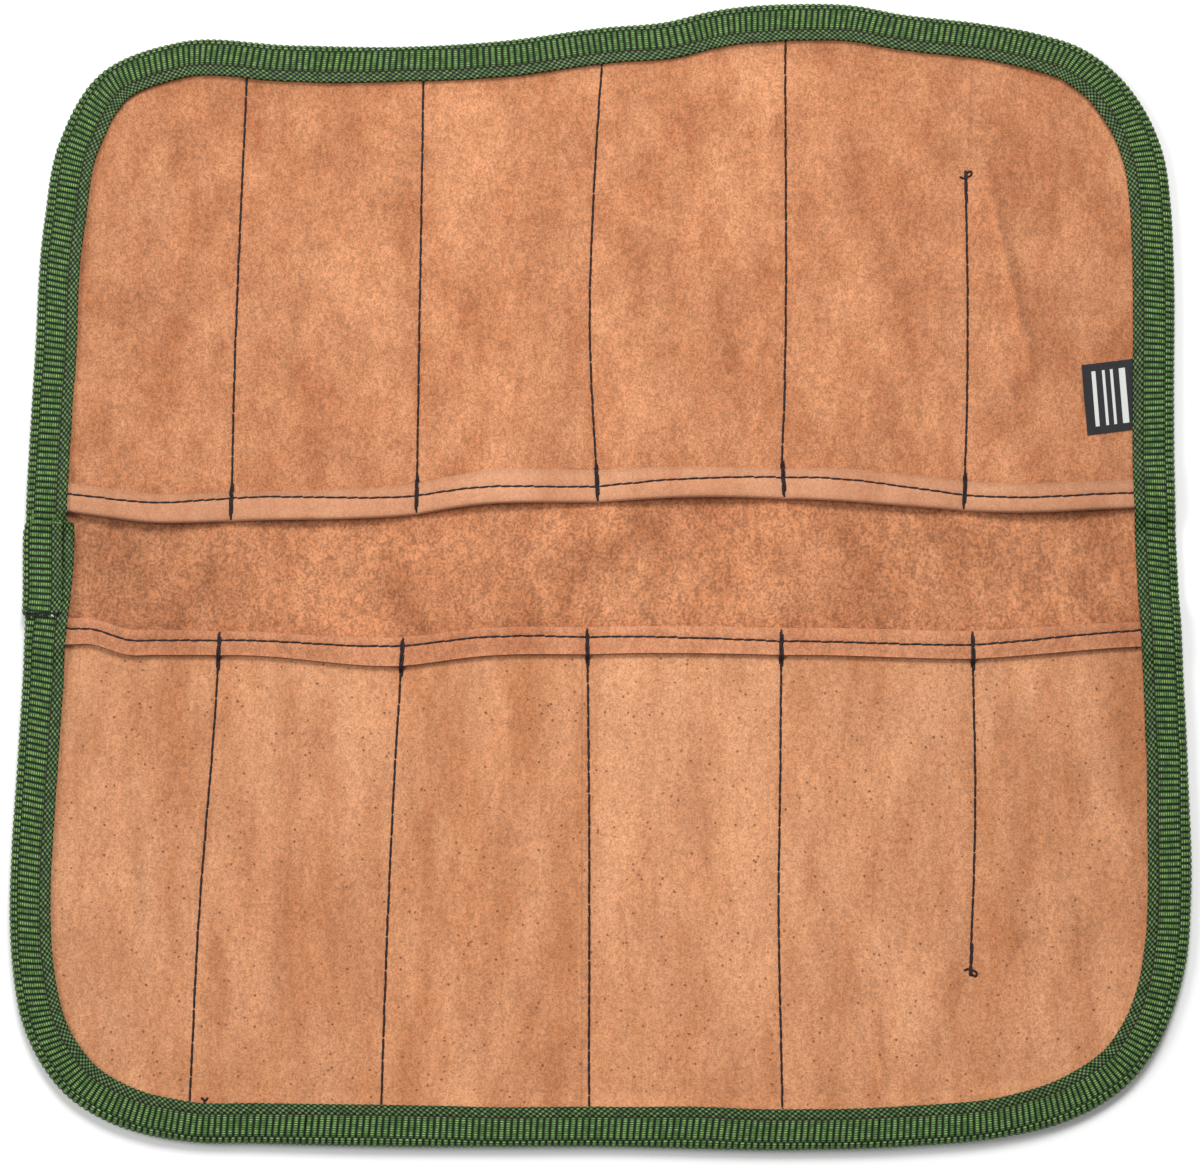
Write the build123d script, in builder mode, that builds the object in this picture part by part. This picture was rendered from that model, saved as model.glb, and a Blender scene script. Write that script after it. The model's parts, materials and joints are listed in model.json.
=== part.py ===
from build123d import *
from math import sqrt
import os

os.makedirs("parts", exist_ok=True)

# A leather roll for carving tools, laid open on a table. X runs across the pockets, Y from the
# lower row of pockets to the upper row, and Z up from the table. The origin is the middle of the
# underside. The roll rolls up about lines along Y, where the dividing seams are sewn.

# Outline of the roll, in millimetres
roll_width = 370.0
roll_height = 368.0
top_corner_radius = 48.0
bottom_corner_radius = 58.0

# The hand-cut top edge: how far each place on it lies below its highest point
left_shoulder_drop = 12.5
dip_drop = 14.0
middle_drop = 7.0
right_shoulder_drop = 8.5
peak_past_seam = 14.0
middle_slope = 0.12

# Leather, webbing and thread
backing_thickness = 1.8
pocket_thickness = 1.4
webbing_thickness = 1.2
webbing_width = 25.4
thread_width = 0.7
thread_thickness = 0.5
backtack_width = 1.3
label_thickness = 0.8

# Seams that divide each row into pockets, and the two rows of pockets
pocket_count = 6
seam_pitch = 59.5
middle_seam_x = -2.0
upper_mouth_y = 18.5
lower_mouth_y = -20.5
hem_width = 9.5
upper_hem_seam = 4.8
lower_hem_seam = 3.6
unsewn_upper = 38.0
unsewn_lower = 34.0

# How far the pocket leather stands off the backing, where it starts to rise and how fast
pocket_gap = 5.0
pocket_rise = 10.0
seam_flange = 3.0
edge_flange = 5.0
closed_end_flange = 6.0
corner_clearance = 3.0

# The woven label, sewn in under the webbing of the right side
label_reach = 16.0
label_height = 23.0
label_middle_y = 54.0
label_tail = 5.0
label_clearance = 3.0

# The place on the left side where the webbing's end laps over its start
lap_middle_y = -1.5
lap_length = 29.0
lap_under_leg = 0.6

# Clearances
fold_gap = 0.2
step_past_webbing = 1.0
seam_from_webbing_edge = 3.6
divider_end_clearance = 1.5
fold_line_clearance = 0.5

# Worked out from the sizes above
left = -roll_width / 2 + webbing_thickness
right = roll_width / 2
bottom = -roll_height / 2
top = roll_height / 2
binding_width = webbing_width / 2
step_offset = binding_width + step_past_webbing
rim_bottom = webbing_thickness
rim_middle = rim_bottom + backing_thickness
rim_top = rim_middle + pocket_thickness
edge_height = rim_top + webbing_thickness
flange_top = backing_thickness + pocket_thickness
hem_top = flange_top + pocket_thickness
fold_line_height = edge_height + fold_line_clearance
left_shoulder_y = top - left_shoulder_drop
right_shoulder_y = top - right_shoulder_drop
half_gap = fold_gap / 2
seams = [middle_seam_x + (k - pocket_count / 2) * seam_pitch for k in range(1, pocket_count)]
panel_starts = [left - webbing_thickness] + [x + half_gap for x in seams]
panel_ends = [x - half_gap for x in seams] + [right]
far = roll_width + roll_height


def keep(x_low, x_high, y_low, y_high):
    """Keeps the part of the open sketch that lies in a window."""
    with Locations(((x_low + x_high) / 2, (y_low + y_high) / 2)):
        Rectangle(x_high - x_low, y_high - y_low, mode=Mode.INTERSECT)


def block(x_low, x_high, y_low, y_high, z_low, z_high, mode=Mode.ADD):
    """A box between two corners, in the open part."""
    with Locations(((x_low + x_high) / 2, (y_low + y_high) / 2, (z_low + z_high) / 2)):
        Box(x_high - x_low, y_high - y_low, z_high - z_low, mode=mode)


def inside(distance):
    """The outline of the roll, moved in by a distance all round."""
    x_low = left + bottom_corner_radius
    x_high = right - bottom_corner_radius
    x_left = left + top_corner_radius
    x_right = right - top_corner_radius
    low_centre = bottom + bottom_corner_radius
    left_centre = left_shoulder_y - top_corner_radius
    right_centre = right_shoulder_y - top_corner_radius
    low_radius = bottom_corner_radius - distance
    high_radius = top_corner_radius - distance
    with BuildSketch() as moved:
        with BuildLine():
            Line((x_low, bottom + distance), (x_high, bottom + distance))
            CenterArc((x_high, low_centre), low_radius, 270, 90)
            Line((right - distance, low_centre), (right - distance, right_centre))
            CenterArc((x_right, right_centre), high_radius, 0, 90)
            Spline(
                (x_right, right_shoulder_y - distance),
                (seams[3] + peak_past_seam, top - distance),
                (seams[2], top - middle_drop - distance),
                (seams[1], top - dip_drop - distance),
                (x_left, left_shoulder_y - distance),
                tangents=((-1, 0), (-1, 0), (-1, -middle_slope), (-1, 0), (-1, 0)),
            )
            CenterArc((x_left, left_centre), high_radius, 90, 90)
            Line((left + distance, left_centre), (left + distance, low_centre))
            CenterArc((x_low, low_centre), low_radius, 180, 90)
        make_face()
    return moved.sketch


# Outlines: the roll, the leather inside the webbing, the webbing's inner edge, the leather that
# lies on the table inside the raised rim, and the two sides of the webbing's seam
outline = inside(0)
leather_outline = inside(webbing_thickness)
webbing_inner_edge = inside(binding_width)
flat_outline = inside(step_offset)
seam_outer_side = inside(binding_width - seam_from_webbing_edge - thread_width)
seam_inner_side = inside(binding_width - seam_from_webbing_edge)


def seam_end(k, upper):
    """Where dividing seam k stops short of the webbing. The last one stops well before it."""
    radius = top_corner_radius if upper else bottom_corner_radius
    inner_radius = radius - step_offset
    past_corner_start = max(left + radius - seams[k], seams[k] - right + radius, 0)
    corner_inset = inner_radius - sqrt(inner_radius**2 - past_corner_start**2)
    from_edge = step_offset + corner_inset + divider_end_clearance
    last = k == pocket_count - 2
    if upper:
        return top - dip_drop - from_edge - last * unsewn_upper
    return bottom + from_edge + last * unsewn_lower


# The backing: one hide, here in a panel for each pocket column. It lies on the table and steps up
# into the webbing along its edges. The seam's under thread is sunk in its underside.
for k in range(pocket_count):
    number = k + 1
    with BuildPart() as backing:
        with BuildSketch(Plane.XY.offset(rim_bottom)):
            add(leather_outline)
            keep(panel_starts[k], panel_ends[k], -far, far)
        extrude(amount=backing_thickness)
        with BuildSketch(Plane.XY.offset(backing_thickness)):
            add(flat_outline)
            keep(panel_starts[k], panel_ends[k], -far, far)
        extrude(amount=rim_bottom, mode=Mode.SUBTRACT)
        with BuildSketch():
            add(flat_outline)
            keep(panel_starts[k], panel_ends[k], -far, far)
        extrude(amount=rim_bottom)
        if number < pocket_count:
            for y_low, y_high in (
                (upper_mouth_y, seam_end(k, True)),
                (seam_end(k, False), lower_mouth_y),
            ):
                block(
                    panel_ends[k] - thread_width, panel_ends[k], y_low, y_high,
                    0, thread_thickness, Mode.SUBTRACT,
                )
    backing.part.label = f"backing_{number}"
    export_step(backing.part, f"parts/backing_{number}.step")


def pocket_span(number, upper):
    """The raised part of a pocket: its two sides, its end away from the mouth, and its slopes' run."""
    x_low = panel_starts[number - 1] + seam_flange
    x_high = panel_ends[number - 1] - seam_flange
    corner_radius = (top_corner_radius if upper else bottom_corner_radius) - step_offset
    sweep = sqrt(corner_radius**2 - (corner_radius - edge_flange) ** 2) - corner_clearance
    if upper:
        y_end = top - dip_drop - step_offset - closed_end_flange
        if number == 1:
            y_end = left_shoulder_y - top_corner_radius + sweep
        if number == pocket_count:
            y_end = right_shoulder_y - top_corner_radius + sweep
    else:
        y_end = bottom + step_offset + closed_end_flange
        if number in (1, pocket_count):
            y_end = bottom + bottom_corner_radius - sweep
    if number == 1:
        x_low = left + step_offset + edge_flange
    if number == pocket_count:
        x_high = right - step_offset - edge_flange
        if upper:
            x_high = right - binding_width - label_reach - label_clearance
    return x_low, x_high, y_end, min(pocket_rise, (x_high - x_low) / 3)


def pocket_cover(number, upper):
    """The leather over one pocket, with the hem turned back on its mouth."""
    mouth = upper_mouth_y if upper else lower_mouth_y
    away = 1 if upper else -1
    x_low, x_high, y_end, slope = pocket_span(number, upper)
    window = (
        panel_starts[number - 1],
        panel_ends[number - 1],
        mouth if upper else -far,
        far if upper else mouth,
    )
    hem_end = mouth + away * hem_width
    hem_window = (window[0], window[1], min(mouth, hem_end), max(mouth, hem_end))
    middle = (x_low + x_high) / 2
    base = x_high - x_low
    crown = base - 2 * slope
    with BuildPart() as cover:
        with BuildSketch(Plane.XY.offset(rim_middle)):
            add(leather_outline)
            keep(*window)
        extrude(amount=pocket_thickness)
        with BuildSketch(Plane.XY.offset(flange_top)):
            add(flat_outline)
            keep(*window)
        extrude(amount=rim_top - flange_top, mode=Mode.SUBTRACT)
        with BuildSketch(Plane.XY.offset(backing_thickness)):
            add(flat_outline)
            keep(*window)
        extrude(amount=rim_middle - backing_thickness)
        with BuildSketch(Plane.XY.offset(flange_top)):
            add(flat_outline)
            keep(*hem_window)
        extrude(amount=pocket_thickness)
        # The raised leather, then the hem on it, then the hollow under both
        for level, reach, mode in (
            (flange_top, y_end, Mode.ADD),
            (hem_top, hem_end, Mode.ADD),
            (backing_thickness, y_end, Mode.SUBTRACT),
        ):
            rise = slope if reach == y_end else 0
            length = abs(reach - mouth)
            crown_length = length - rise
            with BuildSketch(Plane.XY.offset(level)):
                with Locations((middle, mouth + away * length / 2)):
                    Rectangle(base, length)
            with BuildSketch(Plane.XY.offset(level + pocket_gap)):
                with Locations((middle, mouth + away * crown_length / 2)):
                    Rectangle(crown, crown_length)
            loft(mode=mode)
    return cover


for number in range(1, pocket_count + 1):
    upper_pocket = pocket_cover(number, True)
    upper_pocket.part.label = f"upper_pocket_{number}"
    export_step(upper_pocket.part, f"parts/upper_pocket_{number}.step")
    lower_pocket = pocket_cover(number, False)
    lower_pocket.part.label = f"lower_pocket_{number}"
    export_step(lower_pocket.part, f"parts/lower_pocket_{number}.step")


# The webbing is folded over the edge of the roll: a channel along the outline, open inwards, with
# a groove in each face where its seam pulls in. The label's tail sits in the right side, and the
# end of the webbing laps over its start on the left side.
side_low = bottom + bottom_corner_radius
left_side_high = left_shoulder_y - top_corner_radius
right_side_high = right_shoulder_y - top_corner_radius
lap_low = lap_middle_y - lap_length / 2
lap_high = lap_middle_y + lap_length / 2
label_low = label_middle_y - label_height / 2
label_high = label_middle_y + label_height / 2


def binding(x_low, x_high, y_low, y_high):
    """The webbing on the part of the edge that lies in a window."""
    window = (x_low, x_high, y_low, y_high)
    with BuildPart() as webbing:
        with BuildSketch():
            add(outline)
            add(webbing_inner_edge, mode=Mode.SUBTRACT)
            keep(*window)
        extrude(amount=edge_height)
        with BuildSketch(Plane.XY.offset(rim_bottom)):
            add(leather_outline)
        extrude(amount=rim_top - rim_bottom, mode=Mode.SUBTRACT)
        for level in (0, edge_height - thread_thickness):
            with BuildSketch(Plane.XY.offset(level)):
                add(seam_outer_side)
                add(seam_inner_side, mode=Mode.SUBTRACT)
            extrude(amount=thread_thickness, mode=Mode.SUBTRACT)
        if x_low < left:
            block(left, left + binding_width, lap_low, lap_high, 0, lap_under_leg, Mode.SUBTRACT)
        if x_high >= right:
            block(
                right - binding_width, right - binding_width + label_tail, label_low, label_high,
                rim_top, rim_top + label_thickness / 2, Mode.SUBTRACT,
            )
    return webbing


for k in range(pocket_count):
    number = k + 1
    top_from = {1: left_side_high, pocket_count: right_side_high}.get(number, 0)
    low_to = side_low if number in (1, pocket_count) else 0
    binding_top = binding(panel_starts[k], panel_ends[k], top_from, far)
    binding_top.part.label = f"binding_top_{number}"
    export_step(binding_top.part, f"parts/binding_top_{number}.step")
    binding_bottom = binding(panel_starts[k], panel_ends[k], -far, low_to)
    binding_bottom.part.label = f"binding_bottom_{number}"
    export_step(binding_bottom.part, f"parts/binding_bottom_{number}.step")

binding_left = binding(panel_starts[0], 0, side_low, left_side_high)
binding_left.part.label = "binding_left"
export_step(binding_left.part, "parts/binding_left.step")

binding_right = binding(0, panel_ends[-1], side_low, right_side_high)
binding_right.part.label = "binding_right"
export_step(binding_right.part, "parts/binding_right.step")

with BuildPart() as binding_lap:
    block(
        left - webbing_thickness, left + binding_width, lap_low, lap_high,
        0, edge_height + webbing_thickness,
    )
    block(left, right, lap_low, lap_high, lap_under_leg, edge_height, Mode.SUBTRACT)
binding_lap.part.label = "binding_lap"
export_step(binding_lap.part, "parts/binding_lap.step")


# The seam that holds the webbing: a thread in the groove of each face
for k in range(pocket_count):
    number = k + 1
    with BuildPart() as binding_seam:
        for level in (0, edge_height - thread_thickness):
            with BuildSketch(Plane.XY.offset(level)):
                add(seam_outer_side)
                add(seam_inner_side, mode=Mode.SUBTRACT)
                keep(panel_starts[k], panel_ends[k], -far, far)
                if number == 1 and level == 0:
                    with Locations((left, lap_middle_y)):
                        Rectangle(webbing_width, lap_length, mode=Mode.SUBTRACT)
            extrude(amount=thread_thickness)
    binding_seam.part.label = f"binding_seam_{number}"
    export_step(binding_seam.part, f"parts/binding_seam_{number}.step")


# The dividing seams: an over thread that climbs onto the hem, sewn back on itself there, and an
# under thread on the back of the roll
for k in range(pocket_count - 1):
    number = k + 1
    x_high = panel_ends[k]
    x_low = x_high - thread_width
    for row, mouth, away, end in (
        ("upper", upper_mouth_y, 1, seam_end(k, True)),
        ("lower", lower_mouth_y, -1, seam_end(k, False)),
    ):
        hem_end = mouth + away * hem_width
        riser_end = hem_end + away * thread_thickness
        with BuildPart() as divider_seam:
            with BuildSketch(Plane.YZ.offset(x_low)):
                with BuildLine():
                    Polyline(
                        (mouth, hem_top),
                        (hem_end, hem_top),
                        (hem_end, flange_top),
                        (end, flange_top),
                        (end, flange_top + thread_thickness),
                        (riser_end, flange_top + thread_thickness),
                        (riser_end, hem_top + thread_thickness),
                        (mouth, hem_top + thread_thickness),
                        close=True,
                    )
                make_face()
            extrude(amount=thread_width)
            block(
                x_high - backtack_width, x_high, min(mouth, hem_end), max(mouth, hem_end),
                hem_top, hem_top + thread_thickness,
            )
            block(x_low, x_high, min(mouth, end), max(mouth, end), 0, thread_thickness)
        divider_seam.part.label = f"{row}_divider_seam_{number}"
        export_step(divider_seam.part, f"parts/{row}_divider_seam_{number}.step")


# The hem seams: a thread over the hem of each pocket, up and over its rise
for k in range(pocket_count):
    number = k + 1
    x_start = left + step_offset if number == 1 else panel_starts[k]
    x_end = right - step_offset if number == pocket_count else panel_ends[k] - backtack_width
    with BuildPart() as hem_seam:
        for upper, seam_y in (
            (True, upper_mouth_y + upper_hem_seam),
            (False, lower_mouth_y - lower_hem_seam + thread_width),
        ):
            x_low, x_high, y_end, slope = pocket_span(number, upper)
            path = (
                (x_start, hem_top),
                (x_low, hem_top),
                (x_low + slope, hem_top + pocket_gap),
                (x_high - slope, hem_top + pocket_gap),
                (x_high, hem_top),
                (x_end, hem_top),
            )
            over = [(x, z + thread_thickness) for x, z in reversed(path)]
            with BuildSketch(Plane.XZ.offset(-seam_y)):
                with BuildLine():
                    Polyline(*path, *over, close=True)
                make_face()
            extrude(amount=thread_width)
    hem_seam.part.label = f"hem_seam_{number}"
    export_step(hem_seam.part, f"parts/hem_seam_{number}.step")


# The woven label: its tail lies under the webbing, and the rest steps down onto the pocket
label_edge = right - binding_width
label_path = (
    (label_edge + label_tail, rim_top),
    (label_edge - step_past_webbing, rim_top),
    (label_edge - step_past_webbing - label_clearance, flange_top),
    (label_edge - label_reach, flange_top),
)
with BuildPart() as label:
    with BuildSketch(Plane.XZ.offset(-label_high)):
        with BuildLine():
            Polyline(
                *label_path,
                (label_edge - label_reach, flange_top + label_thickness / 2),
                (label_edge - step_past_webbing - label_clearance, flange_top + label_thickness / 2),
                (label_edge - step_past_webbing, rim_top + label_thickness / 2),
                (label_edge + label_tail, rim_top + label_thickness / 2),
                close=True,
            )
        make_face()
    extrude(amount=label_height)
label.part.label = "label"
export_step(label.part, "parts/label.step")


# The lines that the roll folds along, over its seams and just above the webbing
for x in seams:
    print(f"fold line at x {x:.1f}, z {fold_line_height:.1f}")
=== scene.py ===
"""Looks of a leather roll for carving tools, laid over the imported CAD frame.

Lengths here are millimetres in the CAD's frame: X across the pockets, Y from the lower row of
pockets to the upper row, Z up. They become metres when a mesh is made.
"""
import json
import math

import bpy
import numpy as np
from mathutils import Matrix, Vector


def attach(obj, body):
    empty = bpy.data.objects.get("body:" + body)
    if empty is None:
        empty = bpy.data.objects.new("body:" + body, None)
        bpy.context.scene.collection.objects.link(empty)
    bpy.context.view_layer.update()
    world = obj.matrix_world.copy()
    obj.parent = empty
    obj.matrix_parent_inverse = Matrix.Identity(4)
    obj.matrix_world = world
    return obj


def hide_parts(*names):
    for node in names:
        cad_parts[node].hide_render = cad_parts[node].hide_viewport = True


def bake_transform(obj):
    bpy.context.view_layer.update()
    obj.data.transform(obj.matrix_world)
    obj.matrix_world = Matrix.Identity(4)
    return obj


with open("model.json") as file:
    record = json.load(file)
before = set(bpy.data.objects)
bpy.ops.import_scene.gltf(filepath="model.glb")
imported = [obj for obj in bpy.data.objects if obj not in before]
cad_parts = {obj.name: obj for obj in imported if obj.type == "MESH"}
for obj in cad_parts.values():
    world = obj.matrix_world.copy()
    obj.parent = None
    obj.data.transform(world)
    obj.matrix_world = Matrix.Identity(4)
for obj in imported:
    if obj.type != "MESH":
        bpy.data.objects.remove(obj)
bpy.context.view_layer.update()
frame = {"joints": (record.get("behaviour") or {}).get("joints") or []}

MM = 0.001
FOLDS = [joint["pos_m"][0] / MM for joint in frame["joints"]]
JOINS = [(a + b) / 2 for a, b in zip(FOLDS, FOLDS[1:])]
FAR = 184.0

# The leather: the thickness of the backing and the pockets, how far it rises into the webbing,
# how far inside the outer edge it ends, and its size inside the webbing
BACKING = 1.8
LEATHER = 1.4
STEP_UP = 0.95
RIM = 5.5

# The webbing: its thickness, its width, its width on each face, how far in from the outer edge it
# surely holds the leather down, and its bands
TAPE = 0.95
TAPE_WIDTH = 25.4
TAPE_FACE = TAPE_WIDTH / 2
TAPE_INSIDE = 11
SELVAGE = 3.4
RIB_BAND_END = 10.2
RIB_PITCH = 2.0
BEAD = 0.7
SELVAGE_DOT = 0.72

# The seams: length of a stitch, half the thickness of the leather's thread, and how far it pulls
# the leather down
STITCH_PITCH = 3.5
THREAD = 0.37
SEAM_DENT = 0.28

# The woven label: the middle of its free end, its whole width, what shows of it, and its height
LABEL_PLACE = (154.9, 52.4)
LABEL_WIDTH = 19.5
LABEL_SHOWN = 16
LABEL_HEIGHT = 23

# Its plain bars: how far each lies from the webbing and its width, and the length of all
LABEL_BARS = ((3.2, 2.0), (6.6, 0.9), (9.2, 0.9), (12.4, 1.3))
LABEL_BAR_LENGTH = 18

# A ruled line left on the lower pockets beside the third seam
PENCIL_X = -5.7
PENCIL_HALF_WIDTH = 0.22

# The hand-cut outer edge, clockwise from the left end of the top
OUTLINE = (
    (-137, 171.5), (-100, 170.5), (-65, 170), (-32, 172), (1, 176.5), (22, 178.5), (36, 182),
    (65, 184.5), (82, 184), (98, 181), (123, 178), (142, 174.5), (156.5, 169.5), (167.5, 161),
    (176.5, 148.5), (182, 134), (184, 117), (184.5, 100), (183.5, 52), (183, 19), (184, -24),
    (185, -67), (185, -107), (183, -127), (179.5, -139.5), (173.5, -153), (165.5, -163.5),
    (153, -172.5), (141, -177.5), (125.5, -181), (94, -184), (62, -185), (1, -184), (-62, -184),
    (-107, -183), (-127, -182.5), (-142, -180), (-154.5, -175.5), (-166, -168), (-173.5, -159),
    (-179.5, -147), (-183, -131), (-184.5, -115), (-184.5, -91), (-183.5, -67), (-182, -16.5),
    (-182.5, 10), (-181, 66.5), (-179, 112), (-175, 137.5), (-162, 161),
)


# ---------------------------------------------------------------- curves and relief

def smooth(t):
    t = np.clip(t, 0, 1)
    return t * t * (3 - 2 * t)


def through(points):
    """A smooth function of one variable through a few points."""
    xs, ys = np.array(points, float).T
    slopes = np.gradient(ys, xs)

    def value(x):
        x = np.clip(x, xs[0], xs[-1])
        i = np.clip(np.searchsorted(xs, x) - 1, 0, len(xs) - 2)
        gap = xs[i + 1] - xs[i]
        t = (x - xs[i]) / gap
        ends = (1 + 2 * t) * (1 - t) ** 2 * ys[i] + t * t * (3 - 2 * t) * ys[i + 1]
        bends = t * (1 - t) ** 2 * slopes[i] + t * t * (t - 1) * slopes[i + 1]
        return ends + gap * bends

    return value


def ripples(x, y, size, seed):
    """Smooth random relief from -1 to 1, with lumps about size across."""
    table = np.random.default_rng(seed).uniform(-1, 1, (64, 64))
    u, v = np.asarray(x, float) / size, np.asarray(y, float) / size
    i, j = np.floor(u).astype(int), np.floor(v).astype(int)
    s, t = smooth(u - i), smooth(v - j)
    low = table[i % 64, j % 64] * (1 - s) + table[(i + 1) % 64, j % 64] * s
    high = table[i % 64, (j + 1) % 64] * (1 - s) + table[(i + 1) % 64, (j + 1) % 64] * s
    return low * (1 - t) + high * t


def outline(step):
    """The outer edge at even steps: places, outward directions, and its whole length."""
    around = np.array(OUTLINE[-3:] + OUTLINE + OUTLINE[:4], float)
    chord = np.concatenate([[0], np.cumsum(np.hypot(*np.diff(around, axis=0).T))])
    across = through(np.column_stack([chord, around[:, 0]]))
    up = through(np.column_stack([chord, around[:, 1]]))
    t = np.linspace(chord[3], chord[3 + len(OUTLINE)], 8001)
    line = np.column_stack([across(t), up(t)])
    along = np.concatenate([[0], np.cumsum(np.hypot(*np.diff(line, axis=0).T))])
    count = round(along[-1] / step)
    s = np.arange(count) * along[-1] / count
    places = np.column_stack([np.interp(s, along, line[:, 0]), np.interp(s, along, line[:, 1])])
    reach = max(1, round(2 / step))
    tangent = np.roll(places, -reach, 0) - np.roll(places, reach, 0)
    tangent /= np.hypot(*tangent.T)[:, None]
    return places, np.column_stack([-tangent[:, 1], tangent[:, 0]]), along[-1]


EDGE, EDGE_OUT, EDGE_LENGTH = outline(3.5)


def from_edge(x, y):
    """How far inside the outer edge each place is, and the way out."""
    flat = np.column_stack([np.ravel(x), np.ravel(y)])
    depth, way = np.empty(len(flat)), np.empty((len(flat), 2))
    for start in range(0, len(flat), 4096):
        part = slice(start, start + 4096)
        gap = flat[part, None] - EDGE[None]
        near = np.argmin((gap ** 2).sum(2), 1)
        way[part] = EDGE_OUT[near]
        depth[part] = -(gap[np.arange(len(near)), near] * way[part]).sum(1)
    return depth.reshape(np.shape(x)), way.reshape(np.shape(x) + (2,))


# ---------------------------------------------------------------- the two rows of pockets

class Row:
    """One row of pockets: its mouth, the hem's cut edge, its hem stitches and its seams.

    away is 1 for the row above the bare strip and -1 for the row below it. mouth, hem and stitch
    hold, at some X, the mouth's Y and how far the cut edge and the stitches lie from it. seams
    holds, at some Y, the X of each dividing seam, and last_end is the Y where the last one stops.
    """

    # How far the leather takes to stand up from the webbing and from a seam, how high it stands
    # at its deep end, how much higher at the mouth, and how quickly that fades
    EDGE_REACH = 20
    SEAM_REACH = 27
    STAND = 0.7
    MOUTH_STAND = 1.3
    MOUTH_FADE = 38

    # How far past the last seam's early end its pull fades out, and the hem's gap over the
    # leather, the curl of its cut edge, its dent at the stitches and its belly
    PULL_FADE = 26
    HEM_GAP, HEM_CURL, HEM_DENT, HEM_BELLY = 0.06, 0.5, 0.3, 0.25

    # The heights of its long waves, its short waves and its fine ripples, and their sizes
    WAVES = ((0.45, 46), (0.16, 15), (0.04, 5))

    def __init__(self, name, away, mouth, hem, stitch, seams, last_end, folds, seed):
        self.name, self.away, self.seed = name, away, seed
        self.last_end, self.folds = last_end, folds
        self.mouth = through(mouth)
        self.hem = through(hem)
        self.stitch = through(stitch)
        self.seams = [through(sorted(seam)) for seam in seams]

    def raw(self, x):
        """Y of the hem's cut edge."""
        return self.mouth(x) + self.away * self.hem(x)

    def stitch_y(self, x):
        """Y of the hem's stitches."""
        return self.mouth(x) + self.away * self.stitch(x)

    def sewn(self, k, y):
        """1 where seam k holds the leather down, fading out past the last one's early end."""
        if k < len(FOLDS) - 1:
            return np.ones_like(y)
        return 1 - smooth((self.away * (y - self.last_end) + 1) / self.PULL_FADE)

    def top(self, x, y):
        """Z of the pocket leather's upper face, without its hem."""
        depth, _ = from_edge(x, y)
        held = valley(np.maximum(depth - TAPE_INSIDE - 2, 0), self.EDGE_REACH)
        dent = np.zeros_like(depth)
        for k, seam in enumerate(self.seams):
            off = x - seam(y)
            sewn = self.sewn(k, y)
            held = held + sewn * valley(off, self.SEAM_REACH)
            dent += SEAM_DENT * np.exp(-off ** 2) * sewn ** 8
        free = np.clip(1 - held, 0, 1)
        inward = np.clip(self.away * (y - self.mouth(x)), 0, None)
        stand = self.STAND + self.MOUTH_STAND * np.exp(-inward / self.MOUTH_FADE)
        long, short, fine = (
            height * ripples(x, y, size, self.seed + i)
            for i, (height, size) in enumerate(self.WAVES)
        )
        fine = fine * smooth((depth - TAPE_INSIDE - 1) / 3)
        flat = BACKING + LEATHER + rise_at_rim(depth)
        return flat + free * (stand + long + short) + fine - dent + creases(x, y, self.folds)

    def hem_lift(self, x, y):
        """How far the hem's two faces stand off the leather under it: its cut edge curls up."""
        depth, _ = from_edge(x, y)
        free = smooth((depth - TAPE_INSIDE) / 5)
        back = np.clip(self.away * (self.raw(x) - y), 0, None)
        part = np.clip(back / self.hem(x), 0, 1)
        gap = self.HEM_GAP + self.HEM_CURL * free * np.exp(-back)
        dent = self.HEM_DENT * np.exp(-((y - self.stitch_y(x)) / 0.8) ** 2)
        belly = self.HEM_BELLY * np.sin(math.pi * part) ** 2
        return gap, gap + LEATHER + free * (belly - dent)

    def surface(self, x, y):
        """Z of the row's upper face, hem and all, falling off smoothly past the cut edge."""
        past_mouth = self.away * (y - self.mouth(x)) > -0.5
        fall = 1 - smooth(self.away * (y - self.raw(x)) / 1.6)
        return self.top(x, y) + np.where(past_mouth, self.hem_lift(x, y)[1] * fall, 0)


def valley(distance, reach):
    """1 on a seam, falling to 0 at reach from it."""
    return np.clip(1 - np.abs(distance) / reach, 0, 1) ** 2


def crease(x, y, start, end, depth, width):
    """A fold along a line: a low ridge beside a groove, fading at both ends."""
    ax, ay = start
    dx, dy = end[0] - ax, end[1] - ay
    length = math.hypot(dx, dy)
    t = ((x - ax) * dx + (y - ay) * dy) / length ** 2
    off = ((x - ax) * dy - (y - ay) * dx) / length / width
    fade = smooth(t * 3) * smooth((1 - t) * 3)
    return depth * fade * (0.7 * np.exp(-(off - 1) ** 2) - np.exp(-off ** 2))


def creases(x, y, folds):
    """The long soft folds that a hide has kept: where each runs from and to, depth and width."""
    return sum(crease(x, y, *fold) for fold in folds)


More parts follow.
